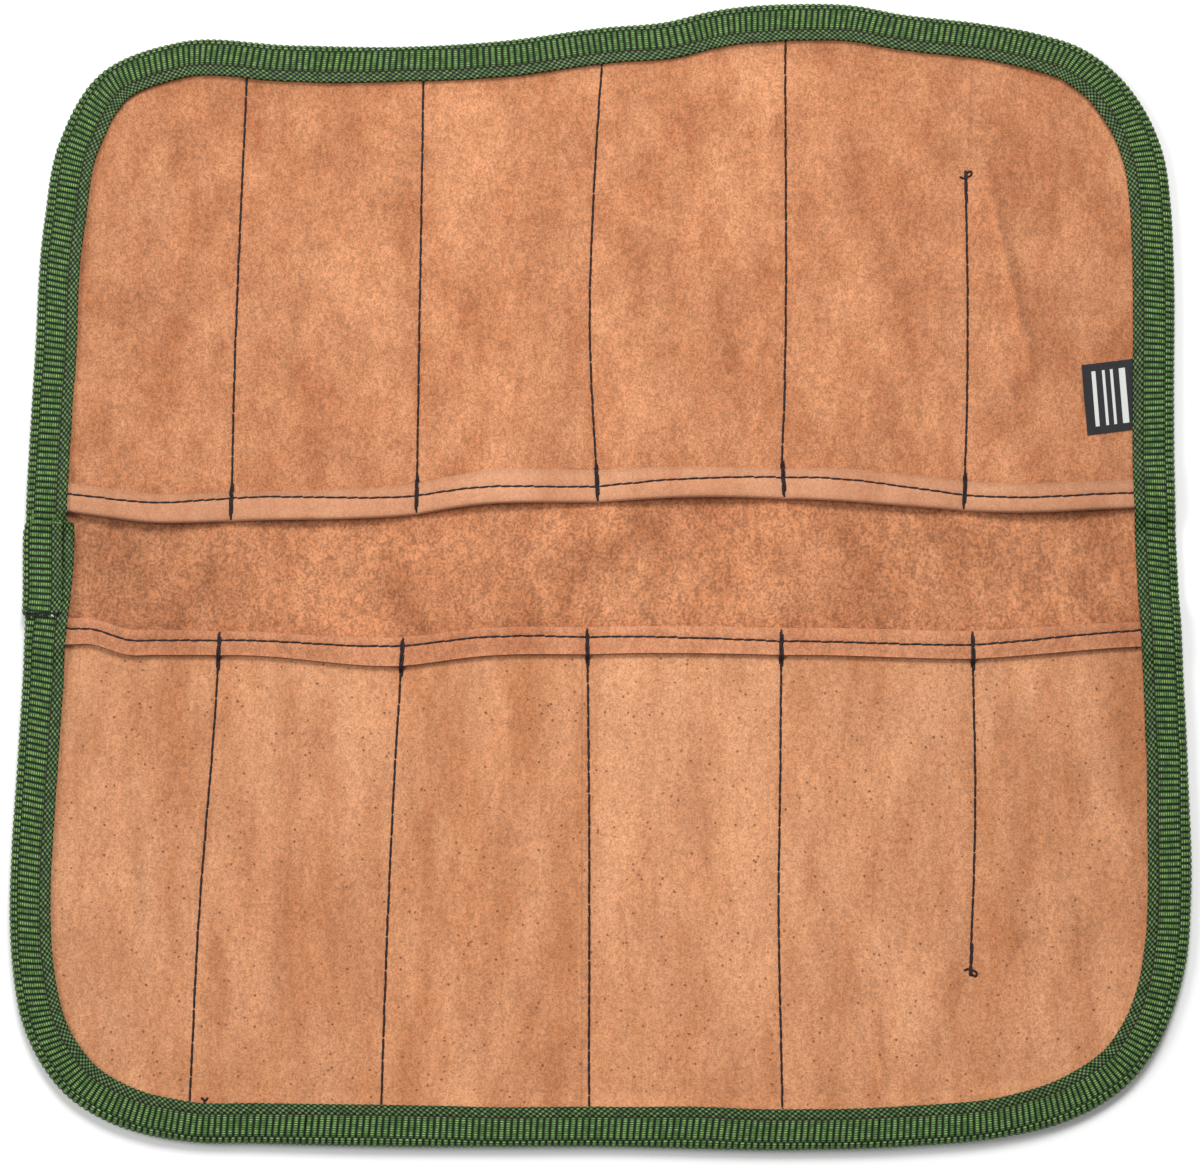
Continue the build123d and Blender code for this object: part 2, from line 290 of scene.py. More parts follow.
UPPER = Row(
    "upper", 1,
    mouth=((-184, 18), (-169, 16.2), (-142, 12.6), (-118, 13.3), (-64, 14.9), (-38, 18.5),
           (-1, 19.5), (26, 20.8), (64, 20.4), (105, 17.5), (133, 15.9), (169, 17.5), (184, 18)),
    hem=((-169, 9.1), (-118, 8.8), (-64, 9.4), (-31, 10.5), (0, 10), (64, 9.5), (80, 10.2),
         (105, 9.4), (170, 8.8)),
    stitch=((-169, 5.5), (-134, 6.4), (-118, 7.1), (-59, 5.7), (-2, 4.8), (24, 5.5), (80, 6.7),
            (116, 4.8), (169, 4.6)),
    seams=(
        ((12, -117.5), (59, -117.2), (160, -114.7)),
        ((12, -58.5), (52, -58.2), (160, -57.3)),
        ((17, -0.5), (40, -1.8), (70, -3.2), (130, -1.6), (166, 0.7)),
        ((18, 59), (31, 58.2), (52, 59), (174, 60.3)),
        ((14, 115.7), (52, 117.5), (100, 118.3), (128, 118.1)),
    ),
    last_end=127,
    folds=(
        ((125, 136), (142, 52), 0.95, 2), ((121, 164), (119.5, 128), 0.5, 1),
        ((150, 66), (167, 26), 0.45, 2.5), ((-100, 36), (-90, 146), 0.3, 3),
        ((20, 60), (30, 150), 0.25, 3.5), ((-150, 60), (-135, 130), 0.3, 3),
    ),
    seed=11,
)
LOWER = Row(
    "lower", -1,
    mouth=((-184, -18), (-168, -18.2), (-160, -18.5), (-155, -20.2), (-150, -21.8),
           (-140, -22.1), (-121, -22.3), (-63, -24.3), (-37, -21.7),
           (-4, -21.1), (63, -21.4), (118, -22.3), (170, -19.5), (184, -19)),
    hem=((-168, 8.6), (-150, 8.4), (-106, 7.8), (-63, 9.3), (-37, 9), (64, 8.8), (118, 9),
         (170, 8)),
    stitch=((-168, 3.5), (-150, 3.6), (-106, 2.9), (-63, 2.9), (-4, 3.2), (50, 4.2), (118, 4.5),
            (170, 2.8)),
    seams=(
        ((-24, -120.5), (-52, -121.8), (-112, -125.6), (-171, -127.5)),
        ((-23, -62.3), (-67, -64.7), (-139, -67.2), (-172, -68)),
        ((-20, -4.1), (-70, -3.5), (-172, -3.4)),
        ((-20, 57.5), (-67, 56.8), (-107, 56), (-173, 56.7)),
        ((-21, 118), (-85, 117.9), (-115, 116.5), (-131, 115.6)),
    ),
    last_end=-130,
    folds=(
        ((86, -138), (91, -170), 0.5, 2), ((-96, -60), (-104, -165), 0.35, 3),
        ((136, -50), (150, -140), 0.3, 3), ((-150, -50), (-142, -130), 0.35, 2.5),
    ),
    seed=23,
)
ROWS = (UPPER, LOWER)
STRIP_FOLDS = (
    ((-141, 17), (-156, -8), 0.45, 3), ((-118, 14), (-128, -14), 0.25, 4),
    ((96, 12), (84, -16), 0.25, 4),
)


def layers_over_one(x, y):
    """Extra height of the leather inside the webbing: none over the bare strip, two on a hem."""
    count = -1.0
    for row in ROWS:
        past_mouth = smooth((row.away * (y - row.mouth(x)) + 9) / 9)
        past_raw = smooth(row.away * (y - row.raw(x)) / 9)
        count = count + 2 * past_mouth - past_raw
    return LEATHER * count


def rise_at_rim(depth):
    """How far the leather rises where it goes in under the webbing."""
    return STEP_UP * (1 - smooth((depth - TAPE_INSIDE) / 6))


def backing_top(x, y):
    """Z of the backing's upper face: it lies flat, bare and a little rumpled between the rows."""
    depth, _ = from_edge(x, y)
    bare = smooth((UPPER.mouth(x) + 3 - y) / 8) * smooth((y - LOWER.mouth(x) + 3) / 8)
    rumple = 0.45 * (1 + ripples(x, y, 34, 5)) + 0.12 * (1 + ripples(x, y, 11, 6))
    rumple = rumple + creases(x, y, STRIP_FOLDS)
    return BACKING + rise_at_rim(depth) + rumple * bare


# ---------------------------------------------------------------- meshes

def make_piece(name, points, faces, materials, kinds=None, sharp=None, cloth=None, fold_shade_and_tone=None):
    """A mesh object from points in millimetres.

    cloth holds each point's place on a woven material, and fold_shade_and_tone how far a point of
    a hide lies in a crease, below 0, or on the ridge beside it, above 0, with some random tone
    added. The hide's material turns it into painted shade in the crease and a painted highlight on
    the ridge.
    """
    mesh = bpy.data.meshes.new(name)
    mesh.from_pydata((np.asarray(points) * MM).tolist(), [], faces)
    for material in materials:
        mesh.materials.append(material)
    if kinds is not None:
        mesh.polygons.foreach_set("material_index", np.asarray(kinds, np.int32))
    mesh.polygons.foreach_set("use_smooth", np.ones(len(mesh.polygons), bool))
    if cloth is not None:
        layer = mesh.attributes.new("cloth", "FLOAT_VECTOR", "POINT")
        layer.data.foreach_set("vector", np.asarray(cloth, np.float32).ravel())
    if fold_shade_and_tone is not None:
        layer = mesh.attributes.new("fold_shade_and_tone", "FLOAT", "POINT")
        layer.data.foreach_set("value", np.asarray(fold_shade_and_tone, np.float32).ravel())
    if sharp is not None:
        flags = mesh.attributes.new("sharp_edge", "BOOLEAN", "EDGE")
        pairs = np.empty(len(mesh.edges) * 2, np.int32)
        mesh.edges.foreach_get("vertices", pairs)
        pairs = np.sort(pairs.reshape(-1, 2), axis=1).astype(np.int64)
        wanted = np.sort(np.asarray(sharp), axis=1).astype(np.int64)
        size = len(points)
        found = np.isin(pairs[:, 0] * size + pairs[:, 1], wanted[:, 0] * size + wanted[:, 1])
        flags.data.foreach_set("value", found)
    mesh.update()
    piece = bpy.data.objects.new(name, mesh)
    bpy.context.scene.collection.objects.link(piece)
    return piece


def trimmed(x, y, margin):
    """The grid's quads that lie inside the edge, with their rim moved onto a smooth line."""
    depth, way = from_edge(x, y)
    middle = (depth[1:, 1:] + depth[:-1, 1:] + depth[1:, :-1] + depth[:-1, :-1]) / 4
    kept = middle > margin
    touched, dropped = np.zeros(x.shape, bool), np.zeros(x.shape, bool)
    for i in (0, 1):
        for j in (0, 1):
            part = (slice(i, x.shape[0] - 1 + i), slice(j, x.shape[1] - 1 + j))
            touched[part] |= kept
            dropped[part] |= ~kept
    move = np.where(touched & dropped, depth - margin, 0)[..., None] * way
    return kept, x + move[..., 0], y + move[..., 1]


def shell(name, upper, lower, kept, materials, fold_shade_and_tone=None, cloth=None):
    """A closed mesh between two grids of points, with walls all round the kept quads.

    The first material covers the upper grid, the second the lower one and the last the walls.
    """
    rows, columns = upper.shape[:2]
    index = np.arange(rows * columns).reshape(rows, columns)
    quads = np.stack([index[:-1, :-1], index[:-1, 1:], index[1:, 1:], index[1:, :-1]], -1)[kept]
    used, quads = np.unique(quads, return_inverse=True)
    quads = quads.reshape(-1, 4)
    count = len(used)
    points = np.vstack([upper.reshape(-1, 3)[used], lower.reshape(-1, 3)[used]])
    edges = np.concatenate([quads[:, [k, (k + 1) % 4]] for k in range(4)])
    _, first, uses = np.unique(
        np.sort(edges, axis=1), axis=0, return_index=True, return_counts=True
    )
    rim = edges[first[uses == 1]]
    walls = np.column_stack([rim[:, 1], rim[:, 0], rim[:, 0] + count, rim[:, 1] + count])
    faces = np.vstack([quads, quads[:, ::-1] + count, walls])
    last = len(materials) - 1
    kinds = np.repeat([0, min(1, last), last], [len(quads), len(quads), len(walls)])
    if grid_faces_down(points, quads):
        faces = faces[:, ::-1]
    if fold_shade_and_tone is not None:
        fold_shade_and_tone = np.tile(fold_shade_and_tone.ravel()[used], 2)
    if cloth is not None:
        cloth = np.tile(cloth.reshape(-1, 3)[used], (2, 1))
    sharp = np.vstack([rim, rim + count])
    return make_piece(name, points, faces.tolist(), materials, kinds, sharp, cloth, fold_shade_and_tone)


def grid_faces_down(points, quads):
    """Whether the upper grid's quads turn their front away from the outside."""
    a, b, c = (points[quads[:, k]] for k in (0, 1, 2))
    half = len(points) // 2
    outward = points[quads[:, 0]] - points[quads[:, 0] + half]
    return (np.cross(b - a, c - b) * outward).sum() < 0


def swept(rings, start=0):
    """Quads between successive closed rings of points, and a cap at each end."""
    count, size = rings.shape[:2]
    index = np.arange(count * size).reshape(count, size) + start
    after = np.roll(index, -1, axis=1)
    quads = np.stack([index[:-1], after[:-1], after[1:], index[1:]], -1).reshape(-1, 4)
    return quads.tolist() + [index[0, ::-1].tolist(), index[-1].tolist()]


# ---------------------------------------------------------------- materials

class Nodes:
    """A material's node tree, with short ways to add to it."""

    def __init__(self, name, roughness, **fixed):
        self.material = bpy.data.materials.new(name)
        self.material.use_nodes = True
        self.tree = self.material.node_tree
        self.shader = self.tree.nodes["Principled BSDF"]
        self.shader.inputs["Roughness"].default_value = roughness
        for socket, value in fixed.items():
            self.shader.inputs[socket.replace("_", " ")].default_value = value

    def add(self, kind, links=(), **settings):
        node = self.tree.nodes.new("ShaderNode" + kind)
        for key, value in settings.items():
            setattr(node, key, value)
        for socket, source in dict(links).items():
            if isinstance(source, bpy.types.NodeSocket):
                self.tree.links.new(source, node.inputs[socket])
            else:
                node.inputs[socket].default_value = source
        return node

    def place(self):
        """Object coordinates in millimetres."""
        return self.stretched(self.add("TexCoord").outputs["Object"], (1000, 1000, 1000))

    def stretched(self, vector, scale):
        return self.add("VectorMath", {0: vector, 1: scale}, operation="MULTIPLY").outputs[0]

    def noise(self, vector, size, detail=2, rough=0.5, swirl=0.0):
        links = {"Vector": vector, "Scale": 1 / size, "Detail": detail, "Roughness": rough}
        links["Distortion"] = swirl
        return self.add("TexNoise", links).outputs["Fac"]

    def math(self, operation, *values):
        return self.add("Math", dict(enumerate(values)), operation=operation).outputs[0]

    def plus(self, a, b):
        return self.math("ADD", a, b)

    def times(self, a, b):
        return self.math("MULTIPLY", a, b)

    def size(self, value):
        return self.math("ABSOLUTE", value)

    def cloth(self):
        """The parts of a point's place on a woven material."""
        place = self.add("Attribute", attribute_name="cloth").outputs["Vector"]
        return self.add("SeparateXYZ", {0: place}).outputs

    def ranged(self, value, low, high, out_low=0.0, out_high=1.0):
        links = {"Value": value, "From Min": low, "From Max": high}
        links.update({"To Min": out_low, "To Max": out_high})
        return self.add("MapRange", links).outputs[0]

    def mix(self, factor, a, b, blend="MIX"):
        links = {0: factor, 6: a, 7: b}
        return self.add("Mix", links, data_type="RGBA", blend_type=blend).outputs[2]

    def bump(self, height, strength, distance, normal=None):
        links = {"Height": height, "Strength": strength, "Distance": distance * MM}
        if normal is not None:
            links["Normal"] = normal
        return self.add("Bump", links).outputs[0]

    def finish(self, colour, normal):
        self.tree.links.new(colour, self.shader.inputs["Base Color"])
        self.tree.links.new(normal, self.shader.inputs["Normal"])
        return self.material


def rgb(red, green, blue):
    """A colour given as it looks on a screen, 0 to 255, in the renderer's own scale."""
    parts = [c / 255 for c in (red, green, blue)]
    return tuple(c / 12.92 if c <= 0.04045 else ((c + 0.055) / 1.055) ** 2.4 for c in parts) + (1,)


def leather(name, light, mid, dark, nap=0.5, pores=False, coarse=1.0, left=1.0, long=0.7):
    """Split hide or grain leather: cloudy colour, a fine nap, pores on the grain side, and painted
    shade in creases with painted light on the ridges beside them.
    """
    made = Nodes(name, 0.86, Sheen_Weight=0.12, Sheen_Roughness=0.6, Specular_IOR_Level=0.22)
    place = made.place()
    clouds = made.noise(made.stretched(place, (1.0, long, 1.0)), 36, 3, 0.55)
    blots = made.noise(made.stretched(place, (1.0, long * 0.7, 1.0)), 8, 3, 0.6)
    tone = made.plus(made.times(clouds, 0.5), made.times(blots, 0.5))
    colour = made.mix(made.ranged(tone, 0.38, 0.62), dark, light)
    colour = made.mix(0.35, colour, mid)
    fibre = made.noise(made.stretched(place, (1.0, 0.6, 1.0)), 1.2 * coarse, 3, 0.7, 1.2)
    grit = made.noise(place, 0.6 * coarse, 2, 0.65)
    speck = made.plus(made.times(fibre, 0.55), made.times(grit, 0.45))
    shade = made.ranged(speck, 0.41, 0.59, 1 - nap * 0.36, 1 + nap * 0.3)
    across = made.add("SeparateXYZ", {0: place}).outputs[0]
    shade = made.times(shade, made.ranged(made.size(across), 50, 175, 1.0, 0.88))
    # Painted shade in creases and painted light on the ridges beside them, read from the hide's
    # crease attribute, which also carries some random tone.
    fold_shade_and_tone = made.add("Attribute", attribute_name="fold_shade_and_tone").outputs["Fac"]
    shade = made.times(shade, made.ranged(fold_shade_and_tone, -0.7, 0.5, 0.78, 1.157))
    if left < 1:
        shade = made.times(shade, made.ranged(across, -170, -95, left, 1.0))
    grey = made.add("CombineColor", {0: shade, 1: shade, 2: shade}).outputs[0]
    colour = made.mix(1.0, colour, grey, "MULTIPLY")
    normal = made.bump(speck, 0.85, 0.6 * coarse)
    if pores:
        links = {"Vector": place, "Scale": 1 / 2.7, "Randomness": 1.0}
        cells = made.add("TexVoronoi", links).outputs["Distance"]
        patch = made.ranged(made.noise(place, 2.6, 1), 0.42, 0.54)
        pore = made.times(made.ranged(cells, 0.08, 0.2, 1.0, 0.0), patch)
        colour = made.mix(made.times(pore, 0.78), colour, rgb(112, 58, 32))
        from_line = made.size(made.math("SUBTRACT", across, PENCIL_X))
        line = made.math("LESS_THAN", from_line, PENCIL_HALF_WIDTH)
        colour = made.mix(made.times(line, 0.3), colour, rgb(120, 84, 66))
        normal = made.bump(made.math("SUBTRACT", 1.0, pore), 0.7, 0.25, normal)
    return made.finish(colour, normal)


def webbing_material():
    """Woven nylon: rounded ribs of small beads with painted highlights, painted shade in the gaps,
    the grooves and the inner face, and dotted selvages.
    """
    made = Nodes("webbing", 0.6, Specular_IOR_Level=0.25)
    ribs, from_end, relief = made.cloth()
    turn = made.times(ribs, math.pi)
    rib = made.size(made.math("COSINE", turn))
    middle_rib = made.size(made.math("SINE", turn))
    in_middle = made.math("GREATER_THAN", from_end, RIB_BAND_END)
    in_selvage = made.math("LESS_THAN", from_end, SELVAGE)
    bar = made.add("Mix", {0: in_middle, 2: rib, 3: middle_rib}).outputs[0]
    crest = made.ranged(bar, 0.32, 0.88)
    from_groove = made.math("MINIMUM", *(
        made.size(made.math("SUBTRACT", from_end, groove)) for groove in (SELVAGE, RIB_BAND_END)
    ))
    # Painted shade, darker near the grooves beside the selvages and the middle band.
    groove_shade = made.ranged(from_groove, 0.05, 0.4, 0.15, 1.0)
    beads = made.math("SINE", made.times(from_end, 2 * math.pi / BEAD))
    # Painted highlight: a bright spot on each bead along the crests.
    bead_highlight = made.times(made.ranged(beads, -0.7, 0.9), made.math("POWER", crest, 2.0))
    across = made.math("COSINE", made.times(from_end, math.pi / SELVAGE_DOT))
    leaning = made.plus(made.times(turn, 2.0), made.times(from_end, 0.9))
    dot = made.ranged(made.times(made.math("COSINE", leaning), across), -0.15, 0.65)
    raised = made.add("Mix", {0: in_selvage, 2: crest, 3: dot}).outputs[0]
    shine = made.add("Mix", {0: in_selvage, 2: bead_highlight, 3: made.times(dot, 0.5)}).outputs[0]
    uneven = made.ranged(made.noise(made.place(), 1.3, 2), 0.38, 0.62, 0.3, 1.0)
    # Painted shade: the tape's inner face, marked by a relief below -0.15, gets the near-black gap
    # colour.
    outer = made.math("GREATER_THAN", relief, -0.15)
    lit = made.times(outer, groove_shade)
    # Painted shade: near black in the gaps between ribs and dots, the tape's own green on their
    # crests.
    colour = made.mix(made.times(raised, lit), rgb(5, 16, 4), rgb(37, 77, 21))
    uneven = made.times(uneven, lit)
    # Painted highlights, a little uneven, over the beads and the selvage dots.
    colour = made.mix(made.times(shine, uneven), colour, rgb(148, 184, 108))
    return made.finish(colour, made.bump(shine, 0.8, 0.16))


def thread_material(name, light, dark):
    """Twisted thread, a little uneven in colour."""
    made = Nodes(name, 0.6, Specular_IOR_Level=0.3)
    place = made.place()
    strand = made.noise(place, 0.5, 2)
    return made.finish(made.mix(strand, dark, light), made.bump(strand, 0.6, 0.1))


def label_material():
    """Black woven tape with plain pale bars."""
    made = Nodes("label", 0.6, Sheen_Weight=0.15, Specular_IOR_Level=0.3)
    across, along, _ = made.cloth()
    threads = made.math("SINE", made.times(along, 2 * math.pi / 0.35))
    cross = made.math("SINE", made.times(across, 2 * math.pi / 0.35))
    weave = made.ranged(made.times(threads, cross), -1, 1)
    ground = made.mix(weave, rgb(16, 15, 17), rgb(40, 38, 42))
    bars = 0.0
    for middle, width in LABEL_BARS:
        off = made.size(made.math("SUBTRACT", across, middle))
        bars = made.plus(made.math("LESS_THAN", off, width / 2), bars)
    inside = made.math("LESS_THAN", made.size(along), LABEL_BAR_LENGTH / 2)
    bar = made.times(bars, inside)
    colour = made.mix(made.times(bar, 0.85), ground, rgb(225, 225, 222))
    return made.finish(colour, made.bump(weave, 0.5, 0.12))


SUEDE = leather("suede", rgb(216, 150, 107), rgb(200, 134, 92), rgb(168, 99, 60), 0.85)
GRAIN = leather(
    "grain", rgb(222, 160, 118), rgb(204, 141, 98), rgb(178, 110, 68), 0.7, pores=True, long=0.35,
)
SMOOTH = leather(
    "smooth_side", rgb(216, 157, 120), rgb(205, 146, 109), rgb(188, 124, 88), 0.45, coarse=0.7,
)
FLESH = leather("flesh_side", rgb(208, 143, 104), rgb(194, 129, 90), rgb(172, 104, 68), 0.75)
ROUGH = leather(
    "backing", rgb(212, 145, 102), rgb(194, 127, 86), rgb(156, 92, 55), 1.0, coarse=1.35,
    left=0.86,
)
# The cut walls: the leather's own darker cut edge, with painted shade added so the hem's raw edge
# shows as a dark line.
CUT_EDGE_AND_SHADE = leather("cut_edge_and_shade", rgb(158, 104, 76), rgb(142, 90, 64), rgb(122, 72, 50), 0.4)
WEBBING = webbing_material()
LEATHER_THREAD = thread_material("leather_thread", rgb(44, 24, 28), rgb(16, 8, 11))
BINDING_THREAD = thread_material("binding_thread", rgb(62, 40, 30), rgb(20, 20, 14))
MELTED_END = thread_material("melted_end", rgb(38, 54, 38), rgb(6, 14, 8))
WHITE_THREAD = thread_material("white_thread", rgb(235, 235, 230), rgb(205, 205, 200))
LABEL = label_material()


# ---------------------------------------------------------------- riding on the frame

def bend(piece):
    """The piece's placement is baked into its mesh."""
    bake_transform(piece)


def stands_for(stem, column):
    """The piece replaces its column's CAD nodes; the last column's piece covers two panels."""
    nodes = [f"{stem}_{column + 1}"]
    if column == len(FOLDS) - 1:
        nodes.append(f"{stem}_{column + 2}")
    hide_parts(*nodes)


def column_ends(column):
    """X of a column's two sides: the middles of two panels, or past the outer edge."""
    return ([-FAR] + JOINS)[column], (JOINS + [FAR])[column]


# ---------------------------------------------------------------- leather

def stations(seam_x, column, gap=1.05):
    """X of a column's grid lines, one row for each Y: close together at the seam."""
    low, high = column_ends(column)
    near = np.array([0, 0.35, 0.7, 1.1, 1.6, 2.3, 3.1])
    seam_x = np.asarray(seam_x, float)[:, None]

    def side(limit):
        room = np.abs(limit - seam_x) - near[-1]
        count = round(abs(limit - FOLDS[column]) / gap)
        part = (np.arange(count) + 1)[None] / count
        return np.sign(limit - seam_x) * (near[-1] + room * part)

    left, right = side(low), side(high)
    inner = np.concatenate([-near[:0:-1], near])[None] + 0 * seam_x
    return seam_x + np.concatenate([left[:, ::-1], inner, right], axis=1)


def with_z(x, y, z):
    """Points from their three coordinates."""
    return np.stack([x, y, z], -1)


# Lines of points across a hem and round its turn, and how much leather a turned hem takes
HEM_LINES = 15
TURN_LINES = 5


def pocket_leather(row, column):
    """One column of a row's leather: over the pockets, round the mouth and back as a hem."""
    away, seam = row.away, row.seams[column]
    mouth_seam = seam(np.array([row.mouth(FOLDS[column])]))[0]
    hem_x = stations(np.full(HEM_LINES, mouth_seam), column)
    part = np.linspace(0, 1, HEM_LINES)[:, None]
    fold = LEATHER + 0.12
    hem_y = row.raw(hem_x) - away * part * (row.hem(hem_x) - fold)
    mouth_x = hem_x[:TURN_LINES]
    turn = np.radians(np.linspace(60, -60, TURN_LINES))[:, None]
    centre_y = row.mouth(mouth_x) + away * fold
    share = np.array([0, 0.25, 0.5, 0.75, 0.93])[:, None]
    hidden_y = row.mouth(mouth_x) + away * (fold + share * (row.hem(mouth_x) - fold))
    steps = np.arange(190)[:, None] * STITCH_PITCH / 4
    nominal = row.raw(FOLDS[column]) + away * steps[:, 0]
    main_x = stations(seam(nominal), column)
    main_y = row.raw(main_x) + away * steps

    x = np.vstack([hem_x, mouth_x, mouth_x, main_x])
    y = np.vstack([hem_y, centre_y, hidden_y, main_y])
    kept, x, y = trimmed(x, y, RIM)
    top = row.top(x, y)
    hem, turned = slice(0, HEM_LINES), slice(HEM_LINES, HEM_LINES + TURN_LINES)
    inner_z, outer_z = top.copy(), top - LEATHER
    inner_y, outer_y = y.copy(), y.copy()
    low_lift, high_lift = row.hem_lift(x[hem], y[hem])
    inner_z[hem] += low_lift
    outer_z[hem] = top[hem] + high_lift
    for z, flat_y, radius in ((inner_z, inner_y, 0.07), (outer_z, outer_y, LEATHER + 0.1)):
        z[turned] = top[turned] + 0.05 + radius * np.sign(turn) * np.abs(np.sin(turn)) ** 0.6
        flat_y[turned] = y[turned] - away * radius * 1.1 * np.cos(turn) ** 0.6
    name = f"{row.name}_leather_{column + 1}"
    sides = (SUEDE, SMOOTH, CUT_EDGE_AND_SHADE) if away > 0 else (GRAIN, FLESH, CUT_EDGE_AND_SHADE)
    # Each point's place in a crease or on its ridge, for the painted shade and light, plus random
    # tone; none on the hem.
    fold_shade_and_tone = creases(x, y, row.folds) + 0.2 * ripples(x / 0.6, y, 17, row.seed + 3)
    fold_shade_and_tone[hem] = 0
    inner, outer = with_z(x, inner_y, inner_z), with_z(x, outer_y, outer_z)
    piece = shell(name, inner, outer, kept, sides, fold_shade_and_tone)
    bend(piece)
    stands_for(f"{row.name}_pocket", column)
    deep = float(np.max(away * y[turned.stop:, 40])) - abs(row.mouth(FOLDS[column]))


def backing(column):
    """One column of the hide that everything is sewn to."""
    low, high = column_ends(column)
    line = np.linspace(low, high, round((high - low) / 1.4) + 1)
    x, y = np.meshgrid(line, np.arange(-FAR - 2, FAR + 4, 1.4))
    kept, x, y = trimmed(x, y, RIM)
    top = backing_top(x, y)
    lifted = np.zeros_like(top)
    for row in ROWS:
        here = row.away * (y - row.mouth(x)) > 0
        for k, seam in enumerate(row.seams):
            off = x - seam(y)
            lifted += here * 0.35 * np.exp(-(off / 1.3) ** 2) * row.sewn(k, y) ** 8
    under = top - BACKING + lifted + 0.05 * (1 + ripples(x, y, 4, 9))
    name = f"backing_leather_{column + 1}"
    # Each point's place in a crease or on its ridge, for the painted shade and light, plus random
    # tone.
    fold_shade_and_tone = creases(x, y, STRIP_FOLDS) + 0.3 * ripples(x, y, 15, 8)
    piece = shell(name, with_z(x, y, top), with_z(x, y, under), kept, (ROUGH,), fold_shade_and_tone)
    bend(piece)
    stands_for("backing", column)


# ---------------------------------------------------------------- webbing

RIBS_ROUND = round(EDGE_LENGTH / RIB_PITCH)
SAMPLES_PER_RIB = 7

# Where the straight sides' webbing ends, the height of the folded tape's lower face, and the lap
SIDE_LOW, SIDE_HIGH = -126.0, 123.0
LOW_FACE = 0.46
LAP_LOW, LAP_HIGH = -17.0, 12.5
LAP_FACE = 11.6

# The upper face's usual width, the folded tape's height over two layers of leather, and how far
# inside the outer edge those layers are counted
UPPER_FACE = 12.2
FOLDED_HEIGHT = 5.5
LAYERS_AT = 9


def webbing_width(places, out):
    """How far in from the outer edge the webbing's upper face reaches."""
    x, y = places.T
    width = UPPER_FACE + 0.9 * out[:, 0] ** 2
    width = width + 0.45 * ripples(x, y, 30, 41) + 0.15 * ripples(x, y, 9, 42)
    under_lap = smooth((y + 32) / 40) * (y < LAP_HIGH) * (x < 0)
    return width + 2.2 * under_lap


def tape_section(width, height, reach=2.0, top_count=32, turn_count=13, low_count=18):
    """The tape's cross-section: distance in, height, across the tape, and the way outward."""
    count = len(width)
    turn = np.linspace(math.pi / 2, -math.pi / 2, turn_count)[None]
    ones = np.ones((count, 1))
    top_in = width[:, None] + (reach - width[:, None]) * np.linspace(0, 1, top_count)[None, :-1]
    turn_in = reach * (1 - np.cos(turn)) * ones
    low_in = (reach + (TAPE_FACE - reach) * np.linspace(0, 1, low_count)[None, 1:]) * ones
    half = (height - LOW_FACE) / 2
    top_z = height[:, None] * np.ones((1, top_count - 1))
    turn_z = LOW_FACE + half[:, None] * (1 + np.sin(turn))
    low_z = np.full_like(low_in, LOW_FACE)
    depth = np.hstack([top_in, turn_in, low_in])
    z = np.hstack([top_z, turn_z, low_z])
    span = np.hypot(np.diff(depth, axis=1), np.diff(z, axis=1))
    across = np.hstack([np.zeros((count, 1)), np.cumsum(span, axis=1)])
    out_flat = np.hstack([0 * top_in, np.cos(turn) * ones, 0 * low_in])
    out_up = np.hstack([1 + 0 * top_in, np.sin(turn) * ones, 0 * low_in - 1])
    return depth, z, across, out_flat, out_up


def weave_relief(ribs, from_end):
    """Height of the woven surface: three bands of ribs between two dotted selvages."""
    rib = np.clip((np.abs(np.cos(math.pi * ribs)) - 0.3) / 0.7, 0, 1) ** 0.6
    middle_rib = np.clip((np.abs(np.sin(math.pi * ribs)) - 0.3) / 0.7, 0, 1) ** 0.6
    dots = np.cos(2 * math.pi * ribs + 0.9 * from_end) * np.cos(math.pi * from_end / SELVAGE_DOT)
    relief = np.where(from_end > RIB_BAND_END, 0.4 * middle_rib, 0.42 * rib)
    relief = np.where(from_end < SELVAGE, 0.14 + 0.16 * dots, relief)
    for groove in (SELVAGE, RIB_BAND_END):
        relief = relief - 0.3 * np.exp(-((from_end - groove) / 0.3) ** 2)
    return relief


def tape_points(places, out, along, width, lift, proud):
    """Rings of the folded tape along a run of the edge, and each point's place on the cloth."""
    inner = places - out * LAYERS_AT
    height = rim_height(inner[:, 0], inner[:, 1]) + lift
    depth, z, across, flat, up = tape_section(width, height)
    corner = np.clip(1 - np.abs(np.abs(out[:, 0]) - 0.7) / 0.5, 0, 1)[:, None]
    lean = 0.04 + (0.1 + 0.16 * corner) * ripples(along, 0 * along, 48, 47)[:, None]
    ribs = (along[:, None] + lean * (7 - across)) / EDGE_LENGTH * RIBS_ROUND
    from_end = np.minimum(across, across[:, -1:] - across)
    relief = weave_relief(ribs, from_end)
    gather = 0.22 * corner * np.sin(along[:, None] / 1.15 + across) * smooth((4.5 - across) / 3)
    depth = depth - flat * (relief + proud)
    z = np.maximum(z + up * relief + (up > 0.5) * gather, 0)
    inner_depth = depth + flat * (relief + TAPE)
    inner_z = z - up * (relief + TAPE)
    pick = np.r_[np.arange(depth.shape[1] - 1, -1, -4), 0]
    ring_depth = np.hstack([depth, inner_depth[:, pick]])
    ring_z = np.hstack([z, inner_z[:, pick]])
    cloth = np.stack([
        np.hstack([ribs, ribs[:, pick]]),
        np.hstack([from_end, from_end[:, pick]]),
        # The inner face's relief is set to -0.2, so the material paints it with shade.
        np.hstack([relief, relief[:, pick] * 0 - 0.2]),
    ], -1)
    x = places[:, :1] - out[:, :1] * ring_depth
    y = places[:, 1:] - out[:, 1:] * ring_depth
    return with_z(x, y, ring_z), cloth


def rim_height(x, y):
    """Height of the folded webbing over the leather inside it."""
    return FOLDED_HEIGHT + layers_over_one(x, y) + 0.15 * ripples(x, y, 25, 44)


